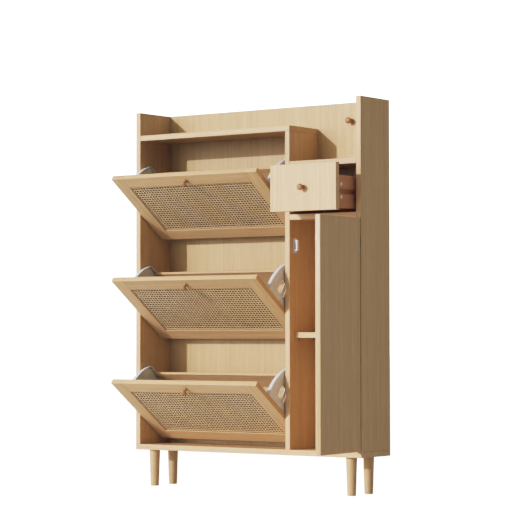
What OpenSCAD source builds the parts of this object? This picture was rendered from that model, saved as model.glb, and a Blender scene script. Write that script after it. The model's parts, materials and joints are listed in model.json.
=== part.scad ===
// Tall, shallow shoe cabinet: three tip-out flaps with cane panels on the left, and a drawer
// over a side-hung door on the right, under an open gallery with raised sides.
// Millimetres. Cabinet numbers run from the left outer face (x), the front plane (y, to the
// back) and the carcass underside (z). place() then moves all of it onto the floor.

/* [Carcass] */
// Overall width over the side panels
cab_w = 900; // [880:1:940]
// Depth of the side panels
cab_d = 165; // [165:1:185]
// Height of the carcass, without the legs
cab_h = 1124; // [1110:1:1180]
// Thickness of every board
board = 18; // [16:0.5:18]
// Thickness of the back panel
back_t = 5; // [3:0.5:6]
// Recess of the back panel from the rear edges
back_inset = 1; // [0:0.5:2]

/* [Left bay] */
// Left face of the divider
divider_x = 611; // [600:1:620]
// Underside of the top shelf
shelf_z = 1029; // [1029:1:1040]

/* [Right bay] */
// Underside of the shelf over the drawer
niche_z = 914; // [905:1:920]
// Underside of the board under the drawer
under_drawer_z = 745; // [735:1:750]
// Underside of the loose shelf behind the door
inner_shelf_z = 371; // [200:1:500]
// Set-back of the loose shelf from the front
inner_shelf_back = 28; // [22:1:50]

/* [Legs] */
// Height of the legs
leg_h = 120; // [80:1:160]
// Diameter at the top of a leg
leg_top_d = 35; // [30:1:45]
// Diameter at the foot of a leg
leg_foot_d = 27; // [20:1:30]
// Distance of the leg axes from the sides
leg_x = 57; // [45:1:90]
// Distance of the front leg axes from the front
leg_front_y = 30; // [28:1:40]
// Distance of the rear leg axes from the front
leg_back_y = 127; // [110:1:135]

/* [Flaps] */
// Height of one flap
flap_l = 326; // [320:0.5:327]
// Width of stiles and rails
member_w = 48; // [40:1:60]
// Thickness of stiles and rails
flap_t = 16; // [15:0.5:16]
// Gap beside a flap, each side
flap_gap_x = 2.5; // [1.5:0.5:3]
// Height of the lowest flap's lower edge
flap_z0 = 32; // [32:0.5:34]
// Step from one flap to the next
flap_pitch = 334; // [334:0.5:334.5]
// Distance of the pivot behind the front face
pivot_y = 54; // [52:1:55]
// Height of the pivot above the flap's lower edge
pivot_h = 109; // [108:1:110]
// How far the flaps stand open
flap_open = 54.5; // [0:0.5:54.5]
// Set-back of the cane from the front face
cane_back = 2.2; // [2:0.1:5]
// Thickness of the cane webbing
cane_t = 2; // [1.5:0.5:2.5]
// Set-back of the backing board from the front face
backing_y = 10.5; // [9:0.5:11]
// Thickness of the backing board behind the cane
backing_t = 3; // [2:0.5:3]

/* [Flap brackets] */
// Width of the bracket's rim
rim_w = 12; // [10:1:14]
// Wall thickness of the bracket
rim_t = 2.5; // [2:0.5:3]
// Clearance between the bracket and the panel beside it
bracket_gap = 6.5; // [5:0.5:7]
// Radius of the bracket's curved top edge
bracket_r = 178; // [178:1:180]
// Radius of the pivot pins
pin_r = 4; // [3:0.5:5]
// Running clearance on the radius of the pins
pin_clear = 0.05; // [0.02:0.01:0.1]

/* [Drawer] */
// How far the drawer is pulled out
drawer_out = 108; // [0:1:108]
// Gap around the drawer front
front_gap = 2; // [1:0.5:3]
// Height of the drawer box
drawer_box_h = 100; // [80:1:110]
// Thickness of the drawer box sides
drawer_side_t = 15; // [12:0.5:15]
// Length of the drawer box behind the front
drawer_len = 132; // [120:1:134]

/* [Door] */
// How far the door stands open
door_open = 94.5; // [0:0.5:94.5]
// Gap at the door's hinge edge
door_gap_hinge = 3.2; // [3.2:0.1:4]
// Distance of the hinge axis behind the front plane
hinge_y = 7.8; // [7.8:0.1:8]
// Distance of the hinge axis inside the side panel
hinge_in = 8.5; // [8.5:0.1:8.6]

/* [Knobs] */
// Diameter of the knob's head
knob_d = 21; // [16:0.5:26]
// Length of the knob
knob_len = 23; // [18:0.5:28]
// Distance of the niche's peg from the left outer face
peg_x = 758; // [700:1:810]
// Height of the niche's peg over the underside of the carcass
peg_z = 1066; // [1000:1:1090]

/* [Hidden] */
$fn = 64;
oak = [0.82, 0.70, 0.52];
oak_edge = [0.86, 0.76, 0.60];
leg_wood = [0.72, 0.52, 0.34];
plastic = [0.93, 0.93, 0.91];
steel = [0.72, 0.72, 0.74];
cane_col = [0.80, 0.66, 0.45];
eps = 0.01;

// where the clear bays lie
right_in = cab_w - board;
bay_r0 = divider_x + board;
back_front_y = cab_d - back_inset - back_t;
top_z = shelf_z + board;
cam_y = [35, 125];
cam_in = 34;

// door and drawer sizes
door_x0 = bay_r0 + front_gap;
door_x1 = right_in - door_gap_hinge;
door_z0 = board + front_gap;
door_z1 = under_drawer_z - front_gap;
hinge_x = right_in + hinge_in;
hinge_zs = [100, under_drawer_z - 82];
hinge_half = 22;
dr_x0 = bay_r0 + front_gap;
dr_x1 = right_in - front_gap;
dr_z0 = under_drawer_z + board + front_gap;
dr_z1 = niche_z - front_gap;
box_x0 = bay_r0 + 12;
box_x1 = right_in - 12;
box_z0 = dr_z0 + 9;
box_z1 = box_z0 + drawer_box_h;
groove_z = (box_z0 + box_z1) / 2;
groove_h = 14;
groove_d = 8;

// flap sizes, measured on a closed flap from its lower edge
flap_x0 = board + flap_gap_x;
flap_x1 = divider_x - flap_gap_x;
flap_zs = [flap_z0, flap_z0 + flap_pitch, flap_z0 + 2 * flap_pitch];
bracket_back_y = 154;
bracket_top_c = [36, 70.4];
bracket_low_r = bracket_back_y - pivot_y + 2;
bracket_low_z = 11;
window_y = [42, 84];
window_z = [185, 208];
stop_r = 60;
stop_pin_r = 3;
stop_angle = 100;
tray_t = 9;
tray_base_z = 92;
tray_top_z = 169;
tray_x0 = board + bracket_gap + rim_w;
tray_x1 = divider_x - bracket_gap - rim_w;

// the middle of the space that the cabinet takes up as it stands, doors open
origin_x = 459.3;
origin_y = -43.3;

module place() { translate([-origin_x, -origin_y, leg_h]) children(); }

module box(x0, x1, y0, y1, z0, z1) {
  translate([x0, y0, z0])
    cube([x1 - x0, y1 - y0, z1 - z0]);
}

// round bar from (x, y, z) along an axis
module bar_x(x, y, z, len, r) { translate([x, y, z]) rotate([0, 90, 0]) cylinder(h = len, r = r); }
module bar_y(x, y, z, len, r) { translate([x, y, z]) rotate([-90, 0, 0]) cylinder(h = len, r = r); }
module bar_z(x, y, z, len, r) { translate([x, y, z]) cylinder(h = len, r = r); }

// ---------------------------------------------------------------- joints at rest

// turns a closed flap about its pivot to the way it stands
module flap_place(i) {
  py = pivot_y;
  pz = flap_zs[i] + pivot_h;
  place()
    translate([0, py, pz])
      rotate([flap_open, 0, 0])
        translate([0, -py, -pz])
          translate([0, 0, flap_zs[i]])
            children();
}

module drawer_place() { place() translate([0, -drawer_out, 0]) children(); }

module door_place() {
  place()
    translate([hinge_x, hinge_y, 0])
      rotate([0, 0, door_open])
        translate([-hinge_x, -hinge_y, 0])
          children();
}

// ---------------------------------------------------------------- carcass boards

// holes along x for two cam bolts at one board end
module cam_bolt_holes(x, dir, z) {
  for (y = cam_y)
    bar_x(dir > 0 ? x - eps : x - 11, y, z, 11 + eps, 3.05);
}

// spigots of the pivot and stop pins on one side of the left bay
module pin_holes(x, dir) {
  for (z = flap_zs) {
    bar_x(dir > 0 ? x - eps : x - 10, pivot_y, z + pivot_h, 10 + eps, 2.55);
    bar_x(dir > 0 ? x - eps : x - 10, pivot_y + stop_r * cos(stop_angle),
      z + pivot_h + stop_r * sin(stop_angle), 10 + eps, 2.05);
  }
}

module carcass_screw_holes(x) {
  for (y = [40, 120])
    bar_z(x, y, -eps, 60, 2.6);
}

// loose-shelf pin holes in the two faces of the right bay
module shelf_pin_holes(x, dir) {
  for (y = [50, 125])
    bar_x(dir > 0 ? x - eps : x - 9, y, inner_shelf_z - 3, 9 + eps, 2.55);
}

module left_side_panel() {
  place() color(oak)
    difference() {
      box(0, board, 0, cab_d, board, cab_h);
      cam_holes_in_panel(board, -1, [shelf_z + board / 2]);
      pin_holes(board, -1);
      carcass_screw_holes(board / 2);
    }
}

// two bolt holes for each listed height, drilled into a face at x
module cam_holes_in_panel(x, dir, zs) {
  for (z = zs)
    cam_bolt_holes(x, dir, z);
}

module right_side_panel() {
  place() color(oak)
    difference() {
      box(right_in, cab_w, 0, cab_d, board, cab_h);
      cam_holes_in_panel(right_in, 1, [niche_z + board / 2, under_drawer_z + board / 2]);
      shelf_pin_holes(right_in, 1);
      carcass_screw_holes(cab_w - board / 2);
      for (z = hinge_zs)
        box(right_in - 1, right_in + hinge_in + 7.1, -1, hinge_y + 7.2, z - hinge_half, z + hinge_half);
    }
}

module divider_panel() {
  place() color(oak)
    difference() {
      box(divider_x, bay_r0, 0, back_front_y, board, shelf_z);
      pin_holes(divider_x, 1);
      cam_holes_in_panel(bay_r0, -1, [niche_z + board / 2, under_drawer_z + board / 2]);
      shelf_pin_holes(bay_r0, -1);
      carcass_screw_holes(divider_x + board / 2);
    }
}

module bottom_panel() {
  place() color(oak_edge)
    difference() {
      box(0, cab_w, 0, cab_d, 0, board);
      for (x = [board / 2, divider_x + board / 2, cab_w - board / 2], y = [40, 120]) {
        bar_z(x, y, -eps, board + 1, 2.6);
        bar_z(x, y, -eps, 3 + eps, 5.1);
      }
      for (p = leg_points)
        bar_z(p[0], p[1], -eps, 15, 4.05);
    }
}

// pockets for the cams in the underside of a shelf, and the bolt way from its end
module cam_pockets(x_end, dir, z) {
  for (y = cam_y) {
    bar_z(x_end + dir * cam_in, y, z - eps, 12.6, 7.6);
    bar_x(dir > 0 ? x_end - eps : x_end - cam_in, y, z + board / 2, cam_in + eps, 3.05);
  }
}

module top_shelf() {
  place() color(oak_edge)
    difference() {
      box(board, bay_r0, 0, back_front_y, shelf_z, top_z);
      cam_pockets(board, 1, shelf_z);
    }
}

module niche_shelf() {
  place() color(oak_edge)
    difference() {
      box(bay_r0, right_in, 0, back_front_y, niche_z, niche_z + board);
      cam_pockets(bay_r0, 1, niche_z);
      cam_pockets(right_in, -1, niche_z);
    }
}

module drawer_shelf() {
  place() color(oak_edge)
    difference() {
      box(bay_r0, right_in, 0, back_front_y, under_drawer_z, under_drawer_z + board);
      cam_pockets(bay_r0, 1, under_drawer_z);
      cam_pockets(right_in, -1, under_drawer_z);
    }
}

module back_panel() {
  place() color(oak)
    box(board, right_in, back_front_y, back_front_y + back_t, board, cab_h);
}

module inner_shelf() {
  place() color(oak_edge)
    box(bay_r0 + 0.5, right_in - 0.5, inner_shelf_back, back_front_y - 0.5,
      inner_shelf_z, inner_shelf_z + board);
}

// steel spoon pins: a peg in the panel and a flat tongue under the shelf
module shelf_pins() {
  place() color(steel)
    for (y = [50, 125]) {
      bar_x(bay_r0 - 8, y, inner_shelf_z - 3, 8, 2.5);
      box(bay_r0, bay_r0 + 9, y - 3.5, y + 3.5, inner_shelf_z - 6, inner_shelf_z);
      bar_x(right_in, y, inner_shelf_z - 3, 8, 2.5);
      box(right_in - 9, right_in, y - 3.5, y + 3.5, inner_shelf_z - 6, inner_shelf_z);
    }
}

// ---------------------------------------------------------------- legs and fittings

leg_points = [[leg_x, leg_front_y], [cab_w - leg_x, leg_front_y],
  [leg_x, leg_back_y], [cab_w - leg_x, leg_back_y]];

// tapered round leg with a small chamfer round its foot
module leg(p) {
  place() color(leg_wood)
    translate([p[0], p[1], -leg_h])
      difference() {
        rotate_extrude($fn = 96)
          polygon([[0, 0], [leg_foot_d / 2 - 1.5, 0], [leg_foot_d / 2, 1.5],
            [leg_top_d / 2, leg_h], [0, leg_h]]);
        translate([0, 0, leg_h - 28])
          cylinder(h = 28 + eps, r = 4.05);
      }
}

module leg_front_left() { leg(leg_points[0]); }
module leg_front_right() { leg(leg_points[1]); }
module leg_back_left() { leg(leg_points[2]); }
module leg_back_right() { leg(leg_points[3]); }

module leg_bolts() {
  place() color(steel)
    for (p = leg_points)
      bar_z(p[0], p[1], -26, 40, 4);
}

// one cam and its bolt: x_end is the shelf's end, dir points into the shelf
module cam_set(x_end, dir, z) {
  for (y = cam_y) {
    difference() {
      bar_z(x_end + dir * cam_in, y, z, 12.5, 7.5);
      bar_x(x_end + dir * cam_in - 8, y, z + board / 2, 16, 3.2);
      translate([x_end + dir * cam_in - 4, y - 0.8, z - eps])
        cube([8, 1.6, 2]);
      translate([x_end + dir * cam_in - 0.8, y - 4, z - eps])
        cube([1.6, 8, 2]);
    }
    bar_x(dir > 0 ? x_end - 10 : x_end - cam_in + 7.8, y, z + board / 2, 10 + cam_in - 7.8, 3);
  }
}

module cam_fittings() {
  place() color(steel) {
    cam_set(board, 1, shelf_z);
    cam_set(bay_r0, 1, niche_z);
    cam_set(right_in, -1, niche_z);
    cam_set(bay_r0, 1, under_drawer_z);
    cam_set(right_in, -1, under_drawer_z);
  }
}

module carcass_screws() {
  place() color(steel)
    for (x = [board / 2, divider_x + board / 2, cab_w - board / 2], y = [40, 120])
      difference() {
        union() {
          bar_z(x, y, 0, 3, 5);
          bar_z(x, y, 3, 52, 2.5);
        }
        translate([x, y, -eps])
          cylinder(h = 2.2, r = 2.2, $fn = 6);
      }
}

// pivot pins: flange against the panel, spigot in it, shaft in the bracket
module pivot_pin(x, dir, z) {
  bar_x(dir > 0 ? x : x - 3, pivot_y, z, 3, 10);
  bar_x(dir > 0 ? x - 9.5 : x, pivot_y, z, 9.5, 2.5);
  bar_x(dir > 0 ? x + 3 : x - bracket_gap - rim_w, pivot_y, z, bracket_gap + rim_w - 3, pin_r);
}

module flap_pivot_pins() {
  place() color(plastic)
    for (z = flap_zs) {
      pivot_pin(board, 1, z + pivot_h);
      pivot_pin(divider_x, -1, z + pivot_h);
    }
}

// stop pins that ride in the brackets' curved slots
module stop_pin(x, dir, z) {
  y = pivot_y + stop_r * cos(stop_angle);
  h = z + stop_r * sin(stop_angle);
  bar_x(dir > 0 ? x : x - 3, y, h, 3, 6);
  bar_x(dir > 0 ? x - 9.5 : x, y, h, 9.5, 2);
  bar_x(dir > 0 ? x + 3 : x - bracket_gap - rim_t - 2, y, h, bracket_gap + rim_t - 1, stop_pin_r);
}

module flap_stop_pins() {
  place() color(plastic)
    for (z = flap_zs) {
      stop_pin(board, 1, z + pivot_h);
      stop_pin(divider_x, -1, z + pivot_h);
    }
}

// drawer runners: a batten on each side of the bay that the box grooves ride on
module drawer_runners() {
  place() color(oak_edge) {
    box(bay_r0, box_x0 + groove_d - 1, 24, 150, groove_z - groove_h / 2 + 0.5, groove_z + groove_h / 2 - 0.5);
    box(box_x1 - groove_d + 1, right_in, 24, 150, groove_z - groove_h / 2 + 0.5, groove_z + groove_h / 2 - 0.5);
  }
}

// all the steel fasteners of the carcass: leg bolts, cams with their bolts, screws and shelf pins
module carcass_fasteners() {
  shelf_pins();
  leg_bolts();
  cam_fittings();
  carcass_screws();
}

// the pins that each flap turns on, and those that its brackets stop against
module flap_pins() {
  flap_pivot_pins();
  flap_stop_pins();
}

// fixed half of each door hinge: two lugs in the side panel's mortise, and the pin
module hinge_brackets() {
  place() color(steel)
    for (z = hinge_zs)
      union() {
        for (z0 = [z - hinge_half, z + hinge_half - 5])
          box(right_in + 0.6, right_in + hinge_in + 7, 0.4, hinge_y + 7, z0, z0 + 5);
        box(right_in + 0.6, right_in + hinge_in + 7, hinge_y + 6.4, hinge_y + 7.1,
          z - hinge_half, z + hinge_half);
        bar_z(hinge_x, hinge_y, z - hinge_half + 2, 2 * hinge_half - 4, 2.5);
      }
}

// magnetic catch on the divider: base with two ears, and a housing open to the front
module magnetic_catch() {
  zc = 665;
  place() color(plastic)
    difference() {
      union() {
        box(bay_r0, bay_r0 + 5, 19.6, 33, zc - 24.5, zc + 24.5);
        box(bay_r0, bay_r0 + 15.5, 19.6, 30, zc - 17.5, zc + 17.5);
      }
      for (z = [zc - 21, zc + 21])
        bar_x(bay_r0 - 1, 26, z, 8, 1.8);
      box(bay_r0 + 3.8, bay_r0 + 12.4, 19, 28.2, zc - 13.2, zc + 13.2);
    }
}

// magnet bar with its two pole plates, in the catch's housing
module catch_magnet() {
  zc = 665;
  place() color(steel) {
    difference() {
      box(bay_r0 + 4, bay_r0 + 12.2, 20, 28.2, zc - 13, zc + 13);
      box(bay_r0 + 5.3, bay_r0 + 10.9, 19, 21.4, zc - 14, zc + 14);
    }
  }
}

// ---------------------------------------------------------------- flaps

// closed flap members; z runs from the flap's lower edge
module stile(left) {
  x0 = left ? flap_x0 : flap_x1 - member_w;
  gx = left ? x0 + member_w - 6.1 : x0 - 1;
  difference() {
    box(x0, x0 + member_w, 0, flap_t, 0, flap_l);
    box(gx, gx + 7.1, cane_back - 0.05, cane_back + cane_t + 0.05, member_w - 6.1, flap_l - member_w + 6.1);
    box(gx, gx + 7.1, backing_y - 0.05, backing_y + backing_t + 0.05, member_w - 6.1, flap_l - member_w + 6.1);
  }
}

module rail(top) {
  z0 = top ? flap_l - member_w : 0;
  gz = top ? z0 - 1 : z0 + member_w - 6.1;
  difference() {
    box(flap_x0 + member_w, flap_x1 - member_w, 0, flap_t, z0, z0 + member_w);
    box(flap_x0 + member_w - 1, flap_x1 - member_w + 1, cane_back - 0.05, cane_back + cane_t + 0.05, gz, gz + 7.1);
    box(flap_x0 + member_w - 1, flap_x1 - member_w + 1, backing_y - 0.05, backing_y + backing_t + 0.05,
      gz, gz + 7.1);
  }
}

module cane() {
  box(flap_x0 + member_w - 6, flap_x1 - member_w + 6, cane_back, cane_back + cane_t,
    member_w - 6, flap_l - member_w + 6);
}

// thin board behind the cane, in its own groove
module backing() {
  box(flap_x0 + member_w - 6, flap_x1 - member_w + 6, backing_y, backing_y + backing_t,
    member_w - 6, flap_l - member_w + 6);
}

// bracket outline in the (y, z) plane, drawn in by d
module bracket_outline(d) {
  intersection() {
    translate([flap_t + d, bracket_low_z + d])
      square([bracket_back_y - flap_t - 2 * d, 260]);
    translate(bracket_top_c)
      circle(r = bracket_r - d, $fn = 180);
    union() {
      translate([pivot_y, pivot_h])
        circle(r = bracket_low_r - d, $fn = 120);
      translate([0, pivot_h])
        square([bracket_back_y + 20, 260]);
      translate([0, 0])
        square([pivot_y, 260]);
    }
  }
}

module window_2d() {
  translate([window_y[0], window_z[0]])
    square([window_y[1] - window_y[0], window_z[1] - window_z[0]]);
}

// curved slot about the pivot for the stop pin
module stop_slot_2d() {
  hw = stop_pin_r + 0.3;
  slack = asin(hw / stop_r);
  a1 = stop_angle + slack;
  a0 = stop_angle - 54.5 - slack;
  far = stop_r * 3;
  translate([pivot_y, pivot_h]) {
    intersection() {
      difference() {
        circle(r = stop_r + hw, $fn = 120);
        circle(r = stop_r - hw, $fn = 120);
      }
      polygon([[0, 0], [far * cos(a0), far * sin(a0)],
        [far * cos((a0 + a1) / 2), far * sin((a0 + a1) / 2)], [far * cos(a1), far * sin(a1)]]);
    }
  }
}

// moulded plate: thin web with a window through it, rim round the outline, boss at the pivot.
// Drawn flat with the web at the bottom and the rim rising from it.
module bracket_flat() {
  difference() {
    linear_extrude(rim_w)
      bracket_outline(0);
    translate([0, 0, rim_t])
      linear_extrude(rim_w)
        difference() {
          bracket_outline(rim_t);
          translate([pivot_y, pivot_h])
            circle(r = 9, $fn = 64);
        }
    translate([0, 0, -1])
      linear_extrude(rim_w + 2)
        window_2d();
    translate([0, 0, -1])
      linear_extrude(rim_t + 2)
        stop_slot_2d();
    translate([pivot_y, pivot_h, -1])
      cylinder(h = rim_w + 2, r = pin_r + pin_clear);
  }
}

// the pair of brackets of one flap, webs outboard
module bracket_pair() {
  color(plastic) {
    multmatrix([[0, 0, 1, board + bracket_gap], [1, 0, 0, 0], [0, 1, 0, 0], [0, 0, 0, 1]])
      bracket_flat();
    translate([board + divider_x, 0, 0])
      mirror([1, 0, 0])
        multmatrix([[0, 0, 1, board + bracket_gap], [1, 0, 0, 0], [0, 1, 0, 0], [0, 0, 0, 1]])
          bracket_flat();
  }
}

module tray_base() {
  box(tray_x0, tray_x1, flap_t, bracket_back_y - tray_t, tray_base_z, tray_base_z + tray_t);
}

module tray_back() {
  box(tray_x0, tray_x1, bracket_back_y - tray_t, bracket_back_y, tray_base_z, tray_top_z);
}

// turned knob with its foot at the origin, pointing along -y
module knob() {
  r = knob_d / 2;
  n = 12;
  head = [for (k = [0:n]) let (a = 90 * k / n) [r * cos(a), knob_len - 6.5 + 6.5 * sin(a)]];
  neck = [for (k = [0:n]) let (a = 180 * k / n) [4.6 + 2.6 * (1 - sin(a)), 3 + 9 * k / n]];
  rotate([90, 0, 0])
    rotate_extrude($fn = 64)
      polygon(concat([[0, 0], [7.2, 0]], neck, [[r - 1.2, 14.5]], head));
}

module flap_knob() {
  translate([(flap_x0 + flap_x1) / 2, 0, flap_l - member_w / 2])
    knob();
}

module upper_flap_left_stile() { flap_place(2) color(oak) stile(true); }
module upper_flap_right_stile() { flap_place(2) color(oak) stile(false); }
module upper_flap_top_rail() { flap_place(2) color(oak) rail(true); }
module upper_flap_bottom_rail() { flap_place(2) color(oak) rail(false); }
module upper_flap_cane() { flap_place(2) color(cane_col) cane(); }
module upper_flap_backing() { flap_place(2) color(oak) backing(); }
module upper_flap_knob() { flap_place(2) color(leg_wood) flap_knob(); }
module upper_flap_brackets() { flap_place(2) bracket_pair(); }
module upper_flap_tray_base() { flap_place(2) color(oak) tray_base(); }
module upper_flap_tray_back() { flap_place(2) color(oak) tray_back(); }

module middle_flap_left_stile() { flap_place(1) color(oak) stile(true); }
module middle_flap_right_stile() { flap_place(1) color(oak) stile(false); }
module middle_flap_top_rail() { flap_place(1) color(oak) rail(true); }
module middle_flap_bottom_rail() { flap_place(1) color(oak) rail(false); }
module middle_flap_cane() { flap_place(1) color(cane_col) cane(); }
module middle_flap_backing() { flap_place(1) color(oak) backing(); }
module middle_flap_knob() { flap_place(1) color(leg_wood) flap_knob(); }
module middle_flap_brackets() { flap_place(1) bracket_pair(); }
module middle_flap_tray_base() { flap_place(1) color(oak) tray_base(); }
module middle_flap_tray_back() { flap_place(1) color(oak) tray_back(); }

module lower_flap_left_stile() { flap_place(0) color(oak) stile(true); }
module lower_flap_right_stile() { flap_place(0) color(oak) stile(false); }
module lower_flap_top_rail() { flap_place(0) color(oak) rail(true); }
module lower_flap_bottom_rail() { flap_place(0) color(oak) rail(false); }
module lower_flap_cane() { flap_place(0) color(cane_col) cane(); }
module lower_flap_backing() { flap_place(0) color(oak) backing(); }
module lower_flap_knob() { flap_place(0) color(leg_wood) flap_knob(); }
module lower_flap_brackets() { flap_place(0) bracket_pair(); }
module lower_flap_tray_base() { flap_place(0) color(oak) tray_base(); }
module lower_flap_tray_back() { flap_place(0) color(oak) tray_back(); }

// ---------------------------------------------------------------- drawer

module drawer_front() {
  drawer_place() color(oak_edge)
    box(dr_x0, dr_x1, 0, board, dr_z0, dr_z1);
}

// box side with the runner groove outside and the bottom's groove inside
module drawer_side(right) {
  x0 = right ? box_x1 - drawer_side_t : box_x0;
  gx = right ? box_x1 - groove_d : box_x0 - 1;
  bx = right ? x0 - 1 : x0 + drawer_side_t - 4.1;
  difference() {
    box(x0, x0 + drawer_side_t, board, board + drawer_len, box_z0, box_z1);
    box(gx, gx + groove_d + 1, board - 1, board + drawer_len + 1, groove_z - groove_h / 2, groove_z + groove_h / 2);
    box(bx, bx + 5.1, board - 1, board + drawer_len - 8 + 0.2, box_z0 + 7.9, box_z0 + 13.1);
    for (z = drawer_cap_zs)
      bar_x(right ? box_x1 - 6 : box_x0 - eps, board + 26, z, 6 + eps, 4.55);
  }
}

drawer_cap_zs = [groove_z - 18, groove_z + 22];

module drawer_left_side() { drawer_place() color(oak) drawer_side(false); }
module drawer_right_side() { drawer_place() color(oak) drawer_side(true); }

module drawer_back() {
  drawer_place() color(oak)
    difference() {
      box(box_x0 + drawer_side_t, box_x1 - drawer_side_t, board + drawer_len - 14, board + drawer_len,
        box_z0, box_z1 - 4);
      box(box_x0, box_x1, board + drawer_len - 15, board + drawer_len - 7.9, box_z0 + 7.9, box_z0 + 13.1);
    }
}

module drawer_bottom() {
  drawer_place() color(oak)
    box(box_x0 + drawer_side_t - 4, box_x1 - drawer_side_t + 4, board, board + drawer_len - 8,
      box_z0 + 8, box_z0 + 13);
}

// peg for keys on the back panel of the side niche, turned like the knobs
module key_peg() {
  place() color(leg_wood)
    translate([peg_x, back_front_y, peg_z])
      knob();
}

module drawer_knob() {
  drawer_place() color(leg_wood)
    translate([(dr_x0 + dr_x1) / 2, 0, (dr_z0 + dr_z1) / 2])
      knob();
}

// white push-in caps over the fittings that hold the drawer front
module drawer_cam_caps() {
  drawer_place() color(plastic)
    for (z = drawer_cap_zs) {
      bar_x(box_x1, board + 26, z, 1, 6);
      bar_x(box_x1 - 5, board + 26, z, 5, 4.5);
      bar_x(box_x0 - 1, board + 26, z, 1, 6);
      bar_x(box_x0, board + 26, z, 5, 4.5);
    }
}

// ---------------------------------------------------------------- door

leaf_len = 26;

module door_panel() {
  door_place() color(oak)
    difference() {
      box(door_x0, door_x1, 0, board, door_z0, door_z1);
      for (z = hinge_zs)
        box(door_x1 - leaf_len, door_x1 + 1, hinge_y - 1.3, board + 1, z - 16.2, z + 16.2);
    }
}

// moving half of each hinge: knuckle round the pin, and a leaf let into the door
module door_hinge_leaves() {
  door_place() color(steel)
    for (z = hinge_zs)
      difference() {
        union() {
          bar_z(hinge_x, hinge_y, z - 16, 32, 5.2);
          box(door_x1 - leaf_len + 0.2, hinge_x, hinge_y - 1.2, hinge_y + 1.3, z - 16, z + 16);
        }
        bar_z(hinge_x, hinge_y, z - 17, 34, 2.55);
        for (dz = [-9, 9])
          bar_y(door_x1 - leaf_len / 2, hinge_y - 3, z + dz, 6, 2);
      }
}

// steel plate that meets the magnetic catch
module door_strike_plate() {
  zc = 665;
  door_place() color(steel)
    difference() {
      box(door_x0 + 2, door_x0 + 16, board, board + 1.2, zc - 16, zc + 16);
      for (dz = [-11, 11])
        bar_y(door_x0 + 9, board - 1, zc + dz, 4, 1.8);
    }
}

left_side_panel();
right_side_panel();
divider_panel();
bottom_panel();
top_shelf();
niche_shelf();
drawer_shelf();
back_panel();
inner_shelf();
leg_front_left();
leg_front_right();
leg_back_left();
leg_back_right();
carcass_fasteners();
flap_pins();
drawer_runners();
hinge_brackets();
magnetic_catch();
catch_magnet();
key_peg();
upper_flap_left_stile();
upper_flap_right_stile();
upper_flap_top_rail();
upper_flap_bottom_rail();
upper_flap_cane();
upper_flap_backing();
upper_flap_knob();
upper_flap_brackets();
upper_flap_tray_base();
upper_flap_tray_back();
middle_flap_left_stile();
middle_flap_right_stile();
middle_flap_top_rail();
middle_flap_bottom_rail();
middle_flap_cane();
middle_flap_backing();
middle_flap_knob();
middle_flap_brackets();
middle_flap_tray_base();
middle_flap_tray_back();
lower_flap_left_stile();
lower_flap_right_stile();
lower_flap_top_rail();
lower_flap_bottom_rail();
lower_flap_cane();
lower_flap_backing();
lower_flap_knob();
lower_flap_brackets();
lower_flap_tray_base();
lower_flap_tray_back();
drawer_front();
drawer_left_side();
drawer_right_side();
drawer_back();
drawer_bottom();
drawer_knob();
drawer_cam_caps();
door_panel();
door_hinge_leaves();
door_strike_plate();
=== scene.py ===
import json
import math
import random

import bmesh
import bpy
import numpy as np
from mathutils import Matrix, Vector

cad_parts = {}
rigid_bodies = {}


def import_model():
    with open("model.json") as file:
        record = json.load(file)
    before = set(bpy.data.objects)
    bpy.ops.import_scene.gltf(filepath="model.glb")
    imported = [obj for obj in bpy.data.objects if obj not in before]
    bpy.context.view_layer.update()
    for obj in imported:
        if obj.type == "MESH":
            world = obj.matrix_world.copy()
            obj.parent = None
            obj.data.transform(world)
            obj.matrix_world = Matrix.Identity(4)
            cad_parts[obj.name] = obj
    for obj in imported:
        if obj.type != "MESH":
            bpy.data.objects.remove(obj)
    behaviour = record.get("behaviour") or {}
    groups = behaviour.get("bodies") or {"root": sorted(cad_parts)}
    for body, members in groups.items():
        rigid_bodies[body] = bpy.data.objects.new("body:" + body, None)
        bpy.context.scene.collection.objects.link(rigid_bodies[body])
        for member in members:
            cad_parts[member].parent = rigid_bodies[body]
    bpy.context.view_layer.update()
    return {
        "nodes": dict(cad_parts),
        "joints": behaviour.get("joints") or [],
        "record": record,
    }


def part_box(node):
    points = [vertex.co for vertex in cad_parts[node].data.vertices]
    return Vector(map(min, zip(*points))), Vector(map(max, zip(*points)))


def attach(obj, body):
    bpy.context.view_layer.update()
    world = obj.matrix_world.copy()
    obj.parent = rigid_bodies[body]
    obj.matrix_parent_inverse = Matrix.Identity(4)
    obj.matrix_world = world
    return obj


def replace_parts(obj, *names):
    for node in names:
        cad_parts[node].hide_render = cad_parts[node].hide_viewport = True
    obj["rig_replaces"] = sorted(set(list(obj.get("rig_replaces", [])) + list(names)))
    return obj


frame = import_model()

NODES = frame["nodes"]
RECORD = frame["record"]
BODY_OF = {node: body for body, nodes in RECORD["behaviour"]["bodies"].items() for node in nodes}
SLOT_OF = {part["node"]: part["material_slot"] for part in RECORD["subparts"]}
JOINT_OF = {joint["child"]: joint for joint in frame["joints"]}
FLAPS = ("lower_flap", "middle_flap", "upper_flap")
X, Y, Z = 0, 1, 2
scene = bpy.context.scene

# Sizes are in metres. The carcass's corner is its left outer face, front plane and underside.
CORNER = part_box("left_side_panel")[0]
FLAP_PIVOT_H = 0.109                            # a closed flap's pivot above its lower edge
FLAP_KNOB_X, FLAP_KNOB_H = 0.3145, 0.302        # a flap's knob from that corner and that edge
WEB_X, WEB_H = (0.0629, 0.5661), (0.0424, 0.2836)   # the cane's opening, likewise
WEB_Y = 0.0032                                  # the webbing's mid plane behind the front plane
FACING_FRONT = Matrix.Rotation(math.radians(90), 4, "X")    # turns +Z to face out of the front


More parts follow.
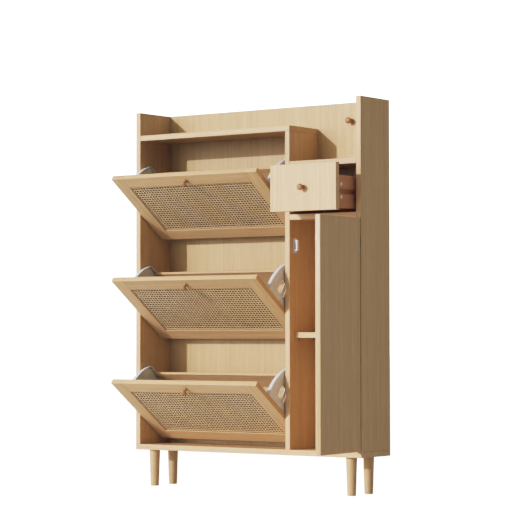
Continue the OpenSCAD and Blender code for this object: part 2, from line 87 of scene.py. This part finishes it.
def opened(body):
    """The matrix from a body's closed place to where it is at rest. A joint's lowest value is
    its closed end, and rest is zero."""
    joint = JOINT_OF.get(body)
    if joint is None:
        return Matrix.Identity(4)
    axis = Vector(joint["axis"])
    if joint["type"] == "slide":
        return Matrix.Translation(-joint["range_m"][0] * axis)
    pivot = Matrix.Translation(joint["pos_m"])
    turn = Matrix.Rotation(math.radians(-joint["range_deg"][0]), 4, axis)
    return pivot @ turn @ pivot.inverted()


def flap_frame(flap):
    """The matrix from a flap's own axes, at the carcass's corner and the flap's lower edge, to
    where the flap is at rest."""
    lower_edge = JOINT_OF[flap]["pos_m"][Z] - FLAP_PIVOT_H
    return opened(flap) @ Matrix.Translation((CORNER.x, CORNER.y, lower_edge))


# ---------------------------------------------------------------- shader helpers

class Tree:
    """Short calls for building a node tree."""

    def __init__(self, tree):
        self.tree = tree
        tree.nodes.clear()

    def node(self, kind, inputs=None, **props):
        n = self.tree.nodes.new(kind)
        for k, v in props.items():
            setattr(n, k, v)
        for k, v in (inputs or {}).items():
            self.set(n.inputs[k], v)
        return n

    def set(self, socket, value):
        if isinstance(value, bpy.types.NodeSocket):
            self.tree.links.new(value, socket)
        elif isinstance(value, (tuple, list)) and len(value) == 3 and socket.type == "RGBA":
            socket.default_value = (*value, 1)
        else:
            socket.default_value = value

    def attribute(self, name, output):
        return self.node("ShaderNodeAttribute", attribute_name=name).outputs[output]

    def math(self, op, a, b):
        return self.node("ShaderNodeMath", {0: a, 1: b}, operation=op).outputs[0]

    def noise(self, at, scale, detail=2.0, rough=0.5):
        """Noise at a point, with one scale, or with one for each axis."""
        if isinstance(scale, tuple):
            stretch = self.node("ShaderNodeVectorMath", {0: at, 1: scale}, operation="MULTIPLY")
            at, scale = stretch.outputs[0], 1.0
        n = self.node("ShaderNodeTexNoise", {"Vector": at, "Scale": scale, "Detail": detail,
                                             "Roughness": rough})
        return n.outputs["Fac"]

    def fibres(self, grain, along, across, detail=2.0, rough=0.5):
        """Noise drawn out along the grain."""
        return self.noise(grain, (along, across, across), detail, rough)

    def ramp(self, fac, *stops):
        n = self.node("ShaderNodeValToRGB", {"Fac": fac})
        band = n.color_ramp
        while len(band.elements) < len(stops):
            band.elements.new(0.5)
        for element, (at, grey) in zip(band.elements, stops):
            element.position = at
            element.color = (grey, grey, grey, 1)
        return n.outputs["Color"]

    def remap(self, value, a0, a1, b0, b1):
        n = self.node("ShaderNodeMapRange", {"Value": value, "From Min": a0, "From Max": a1,
                                             "To Min": b0, "To Max": b1})
        return n.outputs["Result"]

    def spread(self, noise, low, high):
        """Takes the span that noise mostly fills to low..high."""
        return self.remap(noise, 0.3, 0.7, low, high)

    def mix(self, fac, a, b, blend="MIX"):
        n = self.node("ShaderNodeMix", data_type="RGBA", blend_type=blend)
        self.set(n.inputs["Factor"], fac)
        self.set(n.inputs[6], a)
        self.set(n.inputs[7], b)
        return n.outputs[2]

    def toned(self, colour, tone, darkest, lightest):
        """The colour, darker or lighter by the piece's own tone."""
        shade = self.remap(tone, 0.0, 1.0, darkest, lightest)
        grey = self.node("ShaderNodeCombineColor", {0: shade, 1: shade, 2: shade}).outputs[0]
        return self.mix(1.0, colour, grey, "MULTIPLY")

    def finish(self, colour, rough, height, strength, distance, **fixed):
        """The surface, with a bump from height, and numbers fixed on the shader's sockets."""
        shader = self.node("ShaderNodeBsdfPrincipled", {"Base Color": colour, "Roughness": rough})
        for k, v in fixed.items():
            shader.inputs[k.replace("_", " ")].default_value = v
        bump = self.node("ShaderNodeBump", {"Height": height, "Strength": strength,
                                            "Distance": distance})
        self.set(shader.inputs["Normal"], bump.outputs["Normal"])
        self.node("ShaderNodeOutputMaterial", {"Surface": shader.outputs[0]})


def new_material(name):
    m = bpy.data.materials.new(name)
    m.use_nodes = True
    return m, Tree(m.node_tree)


# ---------------------------------------------------------------- materials

def wood(name, pale, deep, pore, ring=0.0046, figure=0.30, rough=0.40):
    """Wood, cut from a log whose rings run round a slanting line. The grain attribute holds, in
    metres, how far along, across and through the board a point lies. Ring is the rings' spacing,
    and figure says how strongly they show."""
    m, t = new_material(name)
    grain = t.attribute("grain", "Vector")
    slant, wander_by, ripple_by, broad_ring = 0.020, 0.030, 0.0022, ring * 6.3

    # distance from the log's heart, which wanders slowly along the board
    split = t.node("ShaderNodeSeparateXYZ", {0: grain})
    along, across, through = split.outputs[X], split.outputs[Y], split.outputs[Z]
    depth = t.math("ADD", t.math("MULTIPLY", along, slant), through)
    log = t.node("ShaderNodeCombineXYZ", {0: 0.0, 1: across, 2: depth}).outputs[0]
    radius = t.node("ShaderNodeVectorMath", {0: log}, operation="LENGTH").outputs["Value"]
    wander = t.fibres(grain, 0.8, 3.5, 1.0)
    ripple = t.fibres(grain, 2.2, 34.0)
    radius = t.math("ADD", radius, t.math("MULTIPLY", wander, wander_by))
    radius = t.math("ADD", radius, t.math("MULTIPLY", ripple, ripple_by))

    # growth rings, broad bands of them, and three widths of fibre
    phase = t.math("FRACT", t.math("DIVIDE", radius, ring), 0.0)
    rings = t.ramp(phase, (0.0, 0.9), (0.25, 0.5), (0.75, 0.05), (0.94, 0.3), (1.0, 0.9))
    phase = t.math("FRACT", t.math("DIVIDE", radius, broad_ring), 0.0)
    broad = t.ramp(phase, (0.0, 0.3), (0.35, 1.0), (0.7, 0.0), (1.0, 0.3))
    fibre = t.fibres(grain, 12.0, 330.0, 4.0, 0.65)
    coarse = t.fibres(grain, 1.6, 210.0, 3.0, 0.6)
    streak = t.fibres(grain, 0.9, 42.0, 3.0, 0.6)
    mark = t.math("MULTIPLY", rings, 0.36 * figure)
    mark = t.math("ADD", mark, t.math("MULTIPLY", broad, 0.25 * figure))
    for layer, low, high in ((coarse, 0.0, 0.48), (fibre, -0.10, 0.34), (streak, -0.11, 0.25)):
        mark = t.math("ADD", mark, t.spread(layer, low, high))

    # open pores, most of them in the early wood of each ring
    pores = t.remap(t.fibres(grain, 38.0, 1400.0, 1.0), 0.60, 0.74, 0.0, 1.0)
    pores = t.math("MULTIPLY", pores, t.math("ADD", t.math("MULTIPLY", rings, 0.7), 0.3))

    colour = t.mix(t.math("MULTIPLY", pores, 0.50), t.mix(mark, pale, deep), pore)
    colour = t.toned(colour, t.attribute("tone", "Fac"), 0.97, 1.03)
    gloss = t.math("ADD", t.spread(fibre, rough - 0.05, rough + 0.07),
                   t.math("MULTIPLY", pores, 0.2))
    height = t.math("SUBTRACT", t.math("MULTIPLY", fibre, 0.35), pores)
    t.finish(colour, gloss, height, 0.20, 0.0002, Specular_IOR_Level=0.5)
    return m


def cane():
    """Split cane: a glossy skin with fine lines, pale and dark lengths, and a few darker joints."""
    m, t = new_material("cane_webbing_strands")
    grain = t.attribute("grain", "Vector")
    lines = t.noise(grain, (25.0, 2600.0, 40.0), 2.0, 0.6)
    lengths = t.noise(grain, (18.0, 60.0, 9.0), 2.0, 0.55)
    joints = t.remap(t.noise(grain, (60.0, 10.0, 3.0), 0.0), 0.74, 0.80, 0.0, 0.30)
    mark = t.math("ADD", t.spread(lines, 0.0, 0.5), t.spread(lengths, 0.0, 0.5))
    colour = t.mix(mark, (0.960, 0.765, 0.525), (0.850, 0.625, 0.392))
    colour = t.mix(joints, colour, (0.30, 0.18, 0.09))
    colour = t.toned(colour, t.attribute("tone", "Fac"), 0.84, 1.12)
    t.finish(colour, t.spread(lines, 0.34, 0.52), lines, 0.25, 0.00015, Specular_IOR_Level=0.5)
    return m


def plastic():
    """White moulded plastic with a fine satin grain."""
    m, t = new_material("white_moulded_plastic")
    at = t.node("ShaderNodeTexCoord").outputs["Object"]
    cloud = t.noise(at, 22.0)
    grit = t.noise(at, 1500.0, 2.0, 0.6)
    colour = t.mix(cloud, (0.82, 0.85, 0.89), (0.86, 0.89, 0.93))
    t.finish(colour, t.spread(grit, 0.36, 0.50), grit, 0.12, 0.0002, Specular_IOR_Level=0.5)
    return m


def steel():
    """Zinc-plated steel, brushed, a little cloudy."""
    m, t = new_material("zinc_plated_steel")
    at = t.node("ShaderNodeTexCoord").outputs["Object"]
    cloud = t.noise(at, 90.0, 3.0, 0.6)
    brush = t.noise(at, (180.0, 180.0, 2500.0), 2.0, 0.6)
    colour = t.mix(cloud, (0.56, 0.56, 0.55), (0.68, 0.68, 0.67))
    t.finish(colour, t.spread(brush, 0.24, 0.42), brush, 0.10, 0.0001, Metallic=1.0)
    return m


# each wood's pale, deep and pore colours
OAK = wood("oak_veneer", (0.790, 0.570, 0.356), (0.610, 0.407, 0.231), (0.33, 0.19, 0.095))
BACK = wood("back_panel_veneer", (0.655, 0.485, 0.272), (0.525, 0.360, 0.183), (0.28, 0.165, 0.078))
LEG = wood("turned_leg_wood", (0.745, 0.535, 0.325), (0.590, 0.395, 0.220), (0.33, 0.19, 0.095),
           ring=0.0040, figure=0.4)
KNOB = wood("turned_knob_wood", (0.520, 0.300, 0.158), (0.395, 0.212, 0.104), (0.22, 0.11, 0.05),
            ring=0.0034, figure=0.4, rough=0.36)
# painted shade: the drawer box's wood is redder and darker than the oak, standing for the reddish
# shade inside the drawer's opening
BOX = wood("drawer_box_wood", (0.745, 0.375, 0.212), (0.570, 0.264, 0.143), (0.30, 0.13, 0.065))
# painted shade: the backing board behind the cane is coloured near-black brown so that the cane's
# holes look deeply shadowed
DARK = wood("backing_board_stained", (0.115, 0.043, 0.022), (0.080, 0.029, 0.015),
            (0.045, 0.018, 0.009), rough=0.6)
CANE = cane()
PLASTIC = plastic()
STEEL = steel()


# ---------------------------------------------------------------- mesh helpers

def store(mesh, name, kind, values):
    """Writes one value a vertex to a named attribute."""
    a = mesh.attributes.get(name) or mesh.attributes.new(name, kind, "POINT")
    a.data.foreach_set("vector" if kind == "FLOAT_VECTOR" else "value",
                       np.asarray(values, np.float32).ravel())


def set_grain(mesh, axis, at=Matrix.Identity(4)):
    """Writes where each vertex lies in its board: along the grain, across it, and through it.
    The board is squared up in its own axes, which the matrix takes to where it is."""
    co = np.empty(len(mesh.vertices) * 3, np.float32)
    mesh.vertices.foreach_get("co", co)
    co = co.reshape(-1, 3).astype(float)
    co = (np.c_[co, np.ones(len(co))] @ np.array(at.inverted()).T)[:, :3]
    lo, hi = co.min(0), co.max(0)
    size = hi - lo
    across, through = sorted((k for k in range(3) if k != axis), key=lambda k: -size[k])
    grain = (co - (lo + hi) / 2)[:, [axis, across, through]]
    # each board comes from its own place in the log, a little off its heart
    rnd = random.Random(mesh.name)
    grain[:, 0] += rnd.uniform(-3, 3)
    grain[:, 1] += rnd.uniform(-0.6, 0.6) * max(size[across], 0.05)
    grain[:, 2] += 0.045 + rnd.uniform(0.0, 0.05)
    store(mesh, "grain", "FLOAT_VECTOR", grain)
    store(mesh, "tone", "FLOAT", np.full(len(grain), rnd.random()))


def face_outwards(mesh):
    bm = bmesh.new()
    bm.from_mesh(mesh)
    bmesh.ops.recalc_face_normals(bm, faces=bm.faces)
    bm.to_mesh(mesh)
    bm.free()


def smooth_below(mesh, degrees):
    mesh.shade_smooth()
    mesh.set_sharp_from_angle(angle=math.radians(degrees))


def put(name, mesh, body, slot, nodes):
    """Makes the mesh a piece that rides on the body and stands for the nodes."""
    o = bpy.data.objects.new(name, mesh)
    scene.collection.objects.link(o)
    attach(o, body)
    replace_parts(o, *nodes)
    return o


def from_cad(node, material, slot, axis=None, bevel=0.0010, shortest=0.012, smooth=None):
    """A board or fitting with the CAD node's shape and rounded edges. Only convex edges longer
    than shortest are rounded."""
    weld, flat, corner = 2e-6, math.radians(0.6), math.radians(50)
    body = BODY_OF[node]
    bm = bmesh.new()
    bm.from_mesh(NODES[node].data)
    bmesh.ops.remove_doubles(bm, verts=bm.verts, dist=weld)
    bmesh.ops.dissolve_limit(bm, angle_limit=flat, verts=bm.verts, edges=bm.edges)
    sharp = [e for e in bm.edges
             if e.is_manifold and e.is_convex and e.calc_length() > shortest
             and e.calc_face_angle() > corner]
    if bevel and sharp:
        bmesh.ops.bevel(bm, geom=sharp, offset=bevel, segments=2, profile=0.5,
                        affect="EDGES", clamp_overlap=True)
    bmesh.ops.recalc_face_normals(bm, faces=bm.faces)
    mesh = bpy.data.meshes.new(node + "_mesh")
    bm.to_mesh(mesh)
    bm.free()
    mesh.materials.append(material)
    if axis is not None:
        set_grain(mesh, axis, opened(body))
    if smooth is not None:
        smooth_below(mesh, smooth)
    return put(node + "_piece", mesh, body, slot, [node])


def lathe(profile, steps):
    """Mesh data turned about Z: (verts, faces). The profile goes from the axis back to the axis."""
    rings = profile[1:-1]
    verts = [(0, 0, profile[0][1])]
    for r, z in rings:
        angles = (2 * math.pi * k / steps for k in range(steps))
        verts += [(r * math.cos(a), r * math.sin(a), z) for a in angles]
    verts.append((0, 0, profile[-1][1]))
    tip = len(verts) - 1
    faces = []
    for k in range(steps):
        j = (k + 1) % steps
        faces.append((0, 1 + j, 1 + k))
        for i in range(len(rings) - 1):
            a, b = 1 + i * steps, 1 + (i + 1) * steps
            faces.append((a + k, a + j, b + j, b + k))
        a = 1 + (len(rings) - 1) * steps
        faces.append((a + k, a + j, tip))
    return verts, faces


def turned(name, profile, at, material, slot, body, node, steps=48):
    """A turned piece; at is the matrix from its own axes to the row frame."""
    verts, faces = lathe(profile, steps)
    mesh = bpy.data.meshes.new(name + "_mesh")
    mesh.from_pydata(verts, [], faces)
    face_outwards(mesh)
    mesh.materials.append(material)
    set_grain(mesh, Z)
    mesh.transform(at)
    smooth_below(mesh, 50)
    return put(name, mesh, body, slot, [node])


# ---------------------------------------------------------------- boards

# the axis that each board's grain runs along
BOARDS = {
    "left_side_panel": Z, "right_side_panel": Z, "divider_panel": Z, "bottom_panel": X,
    "top_shelf": X, "niche_shelf": X, "drawer_shelf": X, "back_panel": Z, "inner_shelf": X,
    "drawer_front": Z, "drawer_left_side": Y, "drawer_right_side": Y, "drawer_back": X,
    "drawer_bottom": X, "door_panel": Z,
}
for flap in FLAPS:
    BOARDS.update({flap + "_left_stile": Z, flap + "_right_stile": Z, flap + "_top_rail": X,
                   flap + "_bottom_rail": X, flap + "_tray_base": X, flap + "_tray_back": X})
VENEERS = {"back_panel": BACK, "drawer_left_side": BOX, "drawer_right_side": BOX,
           "drawer_back": BOX, "drawer_bottom": BOX}
for node, axis in BOARDS.items():
    from_cad(node, VENEERS.get(node, OAK), "oak_board", axis)
for flap in FLAPS:
    from_cad(flap + "_backing", DARK, "oak_board", X, bevel=0)


# ---------------------------------------------------------------- cane webbing

PITCH_X, PITCH_Z = 0.01114, 0.01090     # from hole to hole
HALF_WIDTH, CROWN = 0.00058, 0.00022    # a strand's half width and its crown
PAIR = 0.00085                          # a strand of a pair from the pair's middle
LIFT, DIP = 0.00058, 0.00030            # how far slanting strands, and pairs, go over and under


def strand(line, across):
    """Four vertices a step along the line: a flat underside and a crowned face."""
    n = len(line)
    along = np.linalg.norm(np.diff(line, axis=0), axis=1)
    s = np.r_[0, np.cumsum(along)]
    up = np.array((0, -1.0, 0))
    section = ((-1, -0.25), (-0.55, 1), (0.55, 1), (1, -0.25))
    v = np.stack([line + across * (a * HALF_WIDTH) + up * (b * CROWN) for a, b in section], 1)
    g = np.stack([np.c_[s, np.full(n, a * HALF_WIDTH), np.zeros(n)] for a, _ in section], 1)
    i = np.arange(n - 1)[:, None] * 4
    k = np.arange(4)[None]
    quads = np.stack([i + k, i + (k + 1) % 4, i + 4 + (k + 1) % 4, i + 4 + k], -1).reshape(-1, 4)
    ends = [[3, 2, 1, 0], [4 * n - 4, 4 * n - 3, 4 * n - 2, 4 * n - 1]]
    return v.reshape(-1, 3), g.reshape(-1, 3), np.r_[quads, ends]


def lattice(lo, hi, pitch, mid):
    """The numbers of the lattice lines from just before lo to just past hi."""
    return range(math.ceil((lo - mid) / pitch - 1), math.floor((hi - mid) / pitch + 1) + 1)


def wave(lo, hi, pitch, mid, side):
    """Stations along a strand of a pair and its height there, as it goes over one strand of each
    crossing pair and under the other."""
    out = []
    for j in lattice(lo, hi, pitch, mid):
        c = mid + j * pitch
        out += [(c - PAIR, side * DIP), (c + PAIR, -side * DIP), (c + pitch / 2, 0.0)]
    return [(lo, 0.0)] + [p for p in out if lo < p[0] < hi] + [(hi, 0.0)]


def webbing_lines(x0, x1, z0, z1, y):
    """Each strand of octagonal webbing, as its points and the direction across it: pairs of
    upright and level strands, and slanting strands that cross midway along each hole's sides."""
    cx, cz = (x0 + x1) / 2, (z0 + z1) / 2
    margin = 0.002
    for i in lattice(x0 + margin, x1 - margin, PITCH_X, cx):
        for side in (-1, 1):
            x = cx + i * PITCH_X + side * PAIR
            if x0 + HALF_WIDTH < x < x1 - HALF_WIDTH:
                yield [(x, y - h, z) for z, h in wave(z0, z1, PITCH_Z, cz, side)], (1, 0, 0)
    for j in lattice(z0 + margin, z1 - margin, PITCH_Z, cz):
        for side in (-1, 1):
            z = cz + j * PITCH_Z + side * PAIR
            if z0 + HALF_WIDTH < z < z1 - HALF_WIDTH:
                yield [(x, y - h, z) for x, h in wave(x0, x1, PITCH_X, cx, side)], (0, 0, -1)
    # slanting strands, in lattice units: u and v are pitches from the middle
    u_lo, u_hi = (x0 - cx) / PITCH_X, (x1 - cx) / PITCH_X
    v_lo, v_hi = (z0 - cz) / PITCH_Z, (z1 - cz) / PITCH_Z
    end_gap, shortest = 0.12, 0.3
    reach = int(max(u_hi, v_hi) * 2) + 2
    diagonal = math.hypot(PITCH_X, PITCH_Z)
    for slope in (1, -1):
        across = (-slope * PITCH_Z / diagonal, 0, PITCH_X / diagonal)
        for k in range(-reach, reach):
            c = k + 0.5
            ends = sorted(((v_lo - c) * slope, (v_hi - c) * slope))
            a, b = max(u_lo, ends[0]) + end_gap, min(u_hi, ends[1]) - end_gap
            if b - a < shortest:
                continue
            quarters = range(math.ceil(a * 4 + 0.2), math.floor(b * 4 - 0.2) + 1)
            line = []
            for u in [a] + [q / 4 for q in quarters] + [b]:
                h = -slope * LIFT * math.cos(2 * math.pi * u)
                line.append((cx + u * PITCH_X, y - h, cz + (slope * u + c) * PITCH_Z))
            yield line, across


def webbing_mesh(x0, x1, z0, z1, y):
    """All strands of one panel as one mesh. Each has its own tone and its own stretch of cane."""
    rnd = random.Random(7)
    parts = []
    for line, across in webbing_lines(x0, x1, z0, z1, y):
        v, g, quads = strand(np.array(line), np.array(across))
        tone, offset = rnd.random(), rnd.uniform(0, 40)
        parts.append((v, g + (0, 0, offset), quads, np.full(len(v), tone)))
    verts, grain, tones = (np.concatenate([p[k] for p in parts]) for k in (0, 1, 3))
    start = np.cumsum([0] + [len(p[0]) for p in parts[:-1]])
    faces = np.concatenate([p[2] + s for p, s in zip(parts, start)])
    mesh = bpy.data.meshes.new("cane_webbing_mesh")
    mesh.vertices.add(len(verts))
    mesh.vertices.foreach_set("co", verts.astype(np.float32).ravel())
    mesh.loops.add(len(faces) * 4)
    mesh.loops.foreach_set("vertex_index", faces.astype(np.int32).ravel())
    mesh.polygons.add(len(faces))
    mesh.polygons.foreach_set("loop_start", np.arange(0, len(faces) * 4, 4, dtype=np.int32))
    mesh.polygons.foreach_set("loop_total", np.full(len(faces), 4, np.int32))
    mesh.update(calc_edges=True)
    mesh.validate()
    face_outwards(mesh)
    store(mesh, "grain", "FLOAT_VECTOR", grain)
    store(mesh, "tone", "FLOAT", tones)
    mesh.materials.append(CANE)
    smooth_below(mesh, 55)
    return mesh


for flap in FLAPS:
    mesh = webbing_mesh(*WEB_X, *WEB_H, WEB_Y)
    mesh.transform(flap_frame(flap))
    put(flap + "_cane_webbing", mesh, flap, "cane_webbing", [flap + "_cane"])


# ---------------------------------------------------------------- knobs and legs

def knob_profile():
    """Foot, waist and mushroom head."""
    foot = [(0, 0), (0.0068, 0), (0.0072, 0.0004), (0.0072, 0.0022)]
    waist = [(0.0046 + 0.0026 * (1 - math.sin(math.pi * k / 16)), 0.0030 + 0.0090 * k / 16)
             for k in range(17)]
    angles = [math.radians(88 * k / 14) for k in range(15)]
    head = [(0.0084, 0.0131), (0.0094, 0.0144), (0.0102, 0.0156)]
    head += [(0.0105 * math.cos(a), 0.0165 + 0.0065 * math.sin(a)) for a in angles]
    return foot + waist + head + [(0, 0.0230)]


def leg_profile(foot, top, h):
    """A straight taper from the foot's radius to the top's, with both ends eased."""
    taper = [(foot + (top - foot) * k / 8, h * k / 8) for k in range(1, 8)]
    return ([(0, 0), (foot - 0.0016, 0), (foot - 0.0009, 0.0002), (foot - 0.0003, 0.0008),
             (foot + 0.0001, 0.0018)] + taper
            + [(top - 0.0001, h - 0.0004), (top - 0.0006, h), (0, h)])


for flap in FLAPS:
    at = flap_frame(flap) @ Matrix.Translation((FLAP_KNOB_X, 0, FLAP_KNOB_H)) @ FACING_FRONT
    turned(flap + "_turned_knob", knob_profile(), at, KNOB, "knob_wood", flap, flap + "_knob")
for name, node in (("drawer_turned_knob", "drawer_knob"), ("key_peg_turned", "key_peg")):
    lo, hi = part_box(node)
    mid = (lo + hi) / 2
    at = Matrix.Translation((mid.x, hi.y, mid.z)) @ FACING_FRONT
    turned(name, knob_profile(), at, KNOB, "knob_wood", BODY_OF[node], node)

LEG_FOOT = 0.0135
for leg in ("leg_front_left", "leg_front_right", "leg_back_left", "leg_back_right"):
    lo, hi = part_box(leg)
    mid = (lo + hi) / 2
    turned(leg + "_turned", leg_profile(LEG_FOOT, (hi.x - lo.x) / 2, hi.z - lo.z),
           Matrix.Translation((mid.x, mid.y, lo.z)), LEG, "leg_wood", "carcass", leg, steps=56)


# ---------------------------------------------------------------- plastic and metal

for flap in FLAPS:
    from_cad(flap + "_brackets", PLASTIC, "white_plastic", bevel=0.0004, shortest=0.0012, smooth=32)
from_cad("drawer_cam_caps", PLASTIC, "white_plastic", bevel=0.0003, shortest=0.0002, smooth=35)
# every other node is a small fitting or a runner, and its slot says what it is made of
FITTINGS = {"white_plastic": (PLASTIC, None), "oak_board": (OAK, Z),
            "steel_fittings": (STEEL, None)}
replaced = {n for o in bpy.data.objects for n in o.get("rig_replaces", [])}
for node in sorted(set(NODES) - replaced):
    material, axis = FITTINGS[SLOT_OF[node]]
    from_cad(node, material, SLOT_OF[node], axis, bevel=0.0003, shortest=0.0008, smooth=35)


# ---------------------------------------------------------------- stage and lights

WARM, COOL, COOLER = (1.0, 0.98, 0.93), (0.99, 1.0, 1.04), (0.97, 1.0, 1.09)
WHITE = (1.0, 1.0, 1.0)
SKY, SKY_SEEN = 0.29, 2.5               # the world's strength as light, and as the camera sees it
FLOOR_SEEN, FLOOR_GLOW, FLOOR_BOUNCE = 0.9, 1.5, 0.77
FLOOR_RADIUS, FLOOR_SIDES = 40.0, 64
KEY_SUN = {"energy": 1.70, "degrees": 1.2, "direction": (0.40, 0.86, -0.32)}
FRONT_FILL = {"energy": 1.08, "degrees": 42.0, "direction": (0.36, 0.92, -0.13)}
PANEL_ENERGY, PANEL_SIZE = 4.6, (1.8, 0.9)
PANEL_FROM, PANEL_TO = Vector((-0.55, -1.15, 0.04)), Vector((-0.10, -0.15, 0.65))


def floor(name, shown):
    """A pale floor. One copy is only seen by the camera; the other only throws light back."""
    m, t = new_material(name)
    tone = (FLOOR_SEEN,) * 3 if shown else tuple(FLOOR_BOUNCE * w for w in WARM)
    surface = t.node("ShaderNodeBsdfDiffuse", {"Color": tone}).outputs[0]
    if shown:
        glow = t.node("ShaderNodeEmission", {"Color": WHITE, "Strength": FLOOR_GLOW})
        surface = t.node("ShaderNodeAddShader", {0: surface, 1: glow.outputs[0]}).outputs[0]
    t.node("ShaderNodeOutputMaterial", {"Surface": surface})
    mesh = bpy.data.meshes.new(name + "_mesh")
    angles = [2 * math.pi * k / FLOOR_SIDES for k in range(FLOOR_SIDES)]
    rim = [(FLOOR_RADIUS * math.cos(a), FLOOR_RADIUS * math.sin(a), 0) for a in angles]
    mesh.from_pydata(rim, [], [tuple(range(FLOOR_SIDES))])
    mesh.materials.append(m)
    o = bpy.data.objects.new(name, mesh)
    scene.collection.objects.link(o)
    o.visible_camera = shown
    for kind in ("diffuse", "glossy", "transmission", "shadow"):
        setattr(o, "visible_" + kind, not shown)


def light(name, kind, energy, colour, direction):
    """A light that shines along the direction."""
    data = bpy.data.lights.new(name, kind)
    data.energy = energy
    data.color = colour
    o = bpy.data.objects.new(name, data)
    o.rotation_euler = Vector(direction).to_track_quat("-Z", "Y").to_euler()
    scene.collection.objects.link(o)
    return o


def sunlight(name, energy, degrees, direction):
    light(name, "SUN", energy, COOL, direction).data.angle = math.radians(degrees)


floor("studio_floor", True)
floor("bounce_floor", False)

world = bpy.data.worlds.new("studio_world")
scene.world = world
world.use_nodes = True
t = Tree(world.node_tree)
cast = t.node("ShaderNodeBackground", {"Color": WARM, "Strength": SKY})
seen = t.node("ShaderNodeBackground", {"Color": WHITE, "Strength": SKY_SEEN})
is_camera = t.node("ShaderNodeLightPath").outputs["Is Camera Ray"]
either = t.node("ShaderNodeMixShader", {0: is_camera, 1: cast.outputs[0], 2: seen.outputs[0]})
t.node("ShaderNodeOutputWorld", {"Surface": either.outputs[0]})

sunlight("key_sun", **KEY_SUN)
sunlight("soft_front_fill", **FRONT_FILL)
panel = light("low_front_panel", "AREA", PANEL_ENERGY, COOLER, PANEL_TO - PANEL_FROM)
panel.location = PANEL_FROM
panel.data.shape = "RECTANGLE"
panel.data.size, panel.data.size_y = PANEL_SIZE
panel.visible_camera = False
panel.visible_glossy = False


# ---------------------------------------------------------------- camera and response

EYE = Vector((4.0736, -5.4733, 0.5062))
YAW, PITCH, ROLL = math.radians(36.149), 0.0354896, -0.0011694
forward = Vector((-math.sin(YAW) * math.cos(PITCH), math.cos(YAW) * math.cos(PITCH),
                  math.sin(PITCH)))
level = Vector((math.cos(YAW), math.sin(YAW), 0))
upward = level.cross(forward)
right = math.cos(ROLL) * level + math.sin(ROLL) * upward
up = -math.sin(ROLL) * level + math.cos(ROLL) * upward
camera = bpy.data.cameras.new("camera")
camera.lens = 149.02
camera.sensor_width = 36.0
camera.clip_end = 200.0
eye = bpy.data.objects.new("camera", camera)
eye.matrix_world = Matrix.Translation(EYE) @ Matrix((right, up, -forward)).transposed().to_4x4()
scene.collection.objects.link(eye)
scene.camera = eye

# film-like response: soft highlights and deep shadows; each curve starts at (0, 0)
ALL = ((0.05, 0.033), (0.1147, 0.097), (0.1852, 0.181), (0.2555, 0.275), (0.395, 0.445),
       (0.632, 0.645), (0.875, 0.753), (1, 0.80))
GREEN = ((0.05, 0.057), (0.08, 0.088), (0.14, 0.144), (0.25, 0.25), (1, 1))
BLUE = ((0.012, 0.021), (0.03, 0.041), (0.06, 0.067), (0.1, 0.102), (0.2, 0.2), (1, 1))
view = scene.view_settings
view.view_transform = "Standard"
view.use_curve_mapping = True
response = view.curve_mapping
response.extend = "EXTRAPOLATED"
for channel, points in ((3, ALL), (1, GREEN), (2, BLUE)):
    curve = response.curves[channel].points
    curve[0].location, curve[1].location = (0, 0), points[-1]
    for at in points[:-1]:
        curve.new(*at)
response.update()
